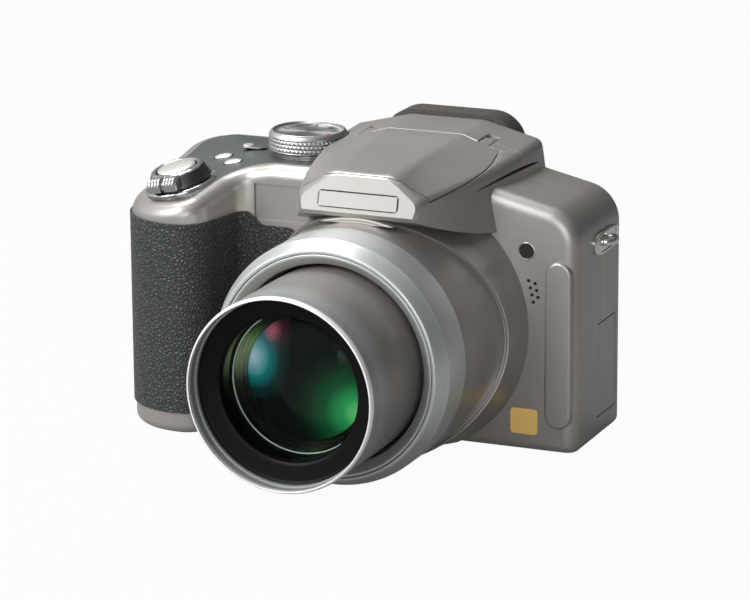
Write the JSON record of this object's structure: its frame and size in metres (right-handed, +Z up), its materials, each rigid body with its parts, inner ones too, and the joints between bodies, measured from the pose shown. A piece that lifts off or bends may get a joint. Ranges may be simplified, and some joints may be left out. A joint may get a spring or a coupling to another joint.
{
  "type": "bridge camera",
  "caption": "Bridge camera with a deep right-hand grip, an extending zoom lens, a pop-up flash over it, a mode dial and an electronic viewfinder.",
  "frame": {"origin": "centre of the mouth of the tripod socket, in the plane the camera stands on", "axes": "+Z up, the lens looks along -Y, +X towards the side with the socket cover; the grip is on the -X side"},
  "size_m": [0.1238, 0.1154, 0.0763],
  "materials": {
    "body_paint": "satin",
    "panel_paint": "satin",
    "grip_rubber": "matte",
    "satin_aluminium": "satin",
    "bright_metal": "polished",
    "black_metal": "satin",
    "glass": "polished",
    "black_plastic": "matte",
    "grey_plastic": "matte",
    "amber_plastic": "gloss",
    "steel": "brushed",
    "brass": "machined",
    "board": "matte",
    "cell_wrap": "matte",
    "lamp_lens": "gloss",
    "window_plastic": "polished"
  },
  "bodies": {
    "case": {"front_shell": "body_paint", "rear_cover": "body_paint", "top_panel": "panel_paint", "base_plate": "black_metal", "grip_skin": "grip_rubber", "thumb_pad": "grip_rubber", "chassis_frame": "steel", "tripod_socket": "steel", "case_screws": "steel", "strap_lugs": "bright_metal", "brow_plate": "body_paint", "badge": "amber_plastic", "af_lamp": "lamp_lens", "lens_housing": "body_paint", "trim_ring": "satin_aluminium", "barrel_bezel": "black_metal", "guide_sleeve": "black_plastic", "drive_motors": "steel", "image_sensor": "black_plastic", "dial_collar": "satin_aluminium", "shutter_seat": "bright_metal", "flash_capacitor": "cell_wrap", "lcd_window": "glass", "eyecup": "grip_rubber", "eyepiece_lens": "glass", "viewfinder_display": "black_plastic", "main_board": "board", "battery": "cell_wrap", "memory_card": "black_plastic"},
    "barrel": {"zoom_barrel": "satin_aluminium", "barrel_rim": "bright_metal", "name_ring": "black_metal", "front_lens": "glass"},
    "cam": {"cam_ring": "satin_aluminium"},
    "pinion": {"zoom_pinion": "brass"},
    "variator": {"variator_cell": "black_plastic", "variator_lens": "glass"},
    "focus_group": {"focus_cell": "black_plastic", "focus_lens": "glass"},
    "lead_screw": {"focus_screw": "brass"},
    "dial": {"mode_dial": "satin_aluminium"},
    "lever": {"zoom_lever": "satin_aluminium"},
    "shutter": {"shutter_button": "bright_metal"},
    "power": {"power_switch": "black_metal"},
    "focus_key": {"focus_button": "bright_metal"},
    "drive_key": {"drive_button": "bright_metal"},
    "flash_head": {"flash_lid": "body_paint", "flash_window": "window_plastic", "flash_tube": "glass"},
    "release_key": {"flash_release": "grey_plastic"},
    "diopter": {"diopter_wheel": "grey_plastic"},
    "pad": {"cursor_pad": "grey_plastic"},
    "set_key": {"set_button": "grey_plastic"},
    "stick": {"joystick": "black_plastic"},
    "display_key": {"display_button": "grey_plastic"},
    "delete_key": {"delete_button": "grey_plastic"},
    "lock_key": {"lock_button": "grey_plastic"},
    "playback": {"playback_switch": "grey_plastic"},
    "door": {"battery_door": "grey_plastic"},
    "socket_cover": {"terminal_cover": "grip_rubber"}
  },
  "joints": [
    {"name": "zoom_slide", "type": "slide", "parent": "case", "child": "barrel", "axis": [0, -1, 0], "range_m": [-0.027, 0.004]},
    {"name": "cam_turn", "type": "hinge", "parent": "case", "child": "cam", "pos_m": [0, -0.03, 0.0306], "axis": [0, -1, 0], "range_deg": [-13.1, 87.3]},
    {"name": "pinion_turn", "type": "hinge", "parent": "case", "child": "pinion", "pos_m": [-0.02284, -0.0111, 0.05344], "axis": [0, -1, 0], "range_deg": [-494.55, 74.12]},
    {"name": "variator_slide", "type": "slide", "parent": "case", "child": "variator", "axis": [0, -1, 0], "range_m": [-0.02002, 0.00298]},
    {"name": "focus_slide", "type": "slide", "parent": "case", "child": "focus_group", "axis": [0, -1, 0], "range_m": [-0.003, 0.004]},
    {"name": "screw_turn", "type": "hinge", "parent": "case", "child": "lead_screw", "pos_m": [0.0068, -0.007, 0.04238], "axis": [0, -1, 0], "range_deg": [-1082, 1442]},
    {"name": "dial_turn", "type": "hinge", "parent": "case", "child": "dial", "pos_m": [-0.032, 0.0016, 0.0664], "axis": [0, 0, 1], "continuous": true},
    {"name": "lever_turn", "type": "hinge", "parent": "case", "child": "lever", "pos_m": [-0.058, -0.0188, 0.06062], "axis": [-0.1931, -0.1738, 0.9657], "range_deg": [-20, 20], "stiffness_Nm_per_rad": 0.02},
    {"name": "shutter_press", "type": "slide", "parent": "case", "child": "shutter", "axis": [0.1931, 0.1738, -0.9657], "range_m": [0, 0.0012], "stiffness_N_per_m": 400},
    {"name": "power_slide", "type": "slide", "parent": "case", "child": "power", "axis": [1, 0, 0], "range_m": [0, 0.0025]},
    {"name": "focus_key_press", "type": "slide", "parent": "case", "child": "focus_key", "axis": [0.1931, 0.1738, -0.9657], "range_m": [0, 0.0005], "stiffness_N_per_m": 300},
    {"name": "drive_key_press", "type": "slide", "parent": "case", "child": "drive_key", "axis": [0.1931, 0.1738, -0.9657], "range_m": [0, 0.0005], "stiffness_N_per_m": 300},
    {"name": "flash_raise", "type": "hinge", "parent": "case", "child": "flash_head", "pos_m": [0, 0.0056, 0.071], "axis": [-1, 0, 0], "range_deg": [0, 60]},
    {"name": "release_press", "type": "slide", "parent": "case", "child": "release_key", "axis": [0, -1, 0], "range_m": [0, 0.0005], "stiffness_N_per_m": 300},
    {"name": "pad_press", "type": "slide", "parent": "case", "child": "pad", "axis": [0, -1, 0], "range_m": [0, 0.0005], "stiffness_N_per_m": 300},
    {"name": "set_press", "type": "slide", "parent": "case", "child": "set_key", "axis": [0, -1, 0], "range_m": [0, 0.0005], "stiffness_N_per_m": 300},
    {"name": "stick_press", "type": "slide", "parent": "case", "child": "stick", "axis": [0, -1, 0], "range_m": [0, 0.0005], "stiffness_N_per_m": 300},
    {"name": "display_press", "type": "slide", "parent": "case", "child": "display_key", "axis": [0, -1, 0], "range_m": [0, 0.0005], "stiffness_N_per_m": 300},
    {"name": "delete_press", "type": "slide", "parent": "case", "child": "delete_key", "axis": [0, -1, 0], "range_m": [0, 0.0005], "stiffness_N_per_m": 300},
    {"name": "lock_press", "type": "slide", "parent": "case", "child": "lock_key", "axis": [0, -1, 0], "range_m": [0, 0.0005], "stiffness_N_per_m": 300},
    {"name": "diopter_turn", "type": "hinge", "parent": "case", "child": "diopter", "pos_m": [-0.0198, 0.0216, 0.0666], "axis": [1, 0, 0], "range_deg": [-120, 120]},
    {"name": "playback_slide", "type": "slide", "parent": "case", "child": "playback", "axis": [1, 0, 0], "range_m": [0, 0.003]},
    {"name": "door_swing", "type": "hinge", "parent": "case", "child": "door", "pos_m": [-0.0487, -0.00475, 0.0007], "axis": [0, -1, 0], "range_deg": [0, 95]},
    {"name": "cover_swing", "type": "hinge", "parent": "case", "child": "socket_cover", "pos_m": [0.0461, 0.0011, 0.01785], "axis": [0, 0, -1], "range_deg": [0, 100]}
  ],
  "couplings": [
    {"joint": "cam_turn", "follows": "zoom_slide", "rad_per_m": -56.301},
    {"joint": "pinion_turn", "follows": "zoom_slide", "rad_per_m": 319.04},
    {"joint": "variator_slide", "follows": "zoom_slide", "ratio": 0.74074},
    {"joint": "screw_turn", "follows": "focus_slide", "rad_per_m": 6283.2}
  ]
}
